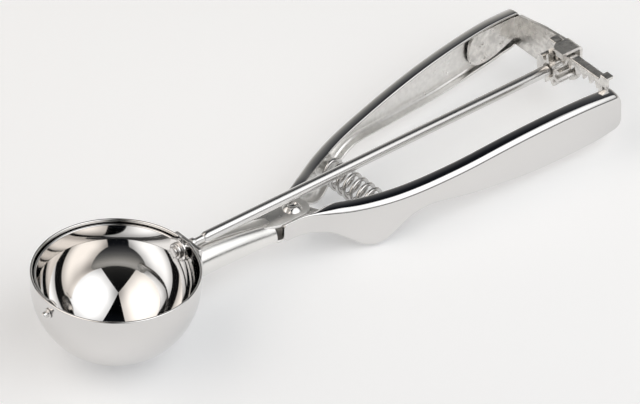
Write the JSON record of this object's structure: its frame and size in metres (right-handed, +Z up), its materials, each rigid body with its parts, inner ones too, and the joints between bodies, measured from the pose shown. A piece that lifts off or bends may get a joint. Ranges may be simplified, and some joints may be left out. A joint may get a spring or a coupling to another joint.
{
  "type": "ice cream scoop",
  "caption": "Squeeze-handle ice cream scoop: a half-round steel bowl with a curved wiper blade that a rack and pinion turn when two channel handles are pressed together.",
  "frame": {"origin": "centre of the footprint, at the level the scoop lies on, with the bowl and the two finger bumps touching it", "axes": "+X from the bowl to the handles, +Y from the moving lever to the fixed handle, +Z up out of the bowl's mouth"},
  "size_m": [0.2288, 0.062, 0.0346],
  "materials": {
    "polished_steel": "mirror-polished stainless steel",
    "dull_steel": "tumbled dull stainless steel"
  },
  "bodies": {
    "frame": {"bowl": "polished_steel", "saddle": "polished_steel", "neck": "polished_steel", "rod_bearing": "dull_steel", "fixed_handle": "polished_steel", "gear_bridge": "dull_steel", "bridge_welds": "dull_steel", "pivot_rivet": "polished_steel", "pivot_spacer": "dull_steel", "spring_seat_fixed": "dull_steel", "handle_spring": "polished_steel"},
    "lever": {"lever_handle": "polished_steel", "rack": "dull_steel", "rack_bracket": "dull_steel", "rack_welds": "dull_steel", "spring_seat_lever": "dull_steel"},
    "wiper": {"drive_rod": "polished_steel", "pinion": "dull_steel", "rod_clip": "dull_steel", "wiper_blade": "polished_steel", "blade_hub": "dull_steel", "blade_pin": "polished_steel", "pin_washer": "dull_steel"}
  },
  "joints": [
    {"name": "lever_hinge", "type": "hinge", "parent": "frame", "child": "lever", "pos_m": [-0.00878, 0, 0.01453], "axis": [0.0635, 0, 0.998], "range_deg": [0, 7.8], "stiffness_Nm_per_rad": 0.65, "springref_deg": -22.92, "deforming": ["handle_spring"]},
    {"name": "wiper_hinge", "type": "hinge", "parent": "frame", "child": "wiper", "pos_m": [-0.08334, 0, 0.0285], "axis": [0.998, 0, -0.0635], "range_deg": [-181.2, 0]}
  ],
  "couplings": [
    {"joint": "wiper_hinge", "follows": "lever_hinge", "ratio": -23.222}
  ]
}
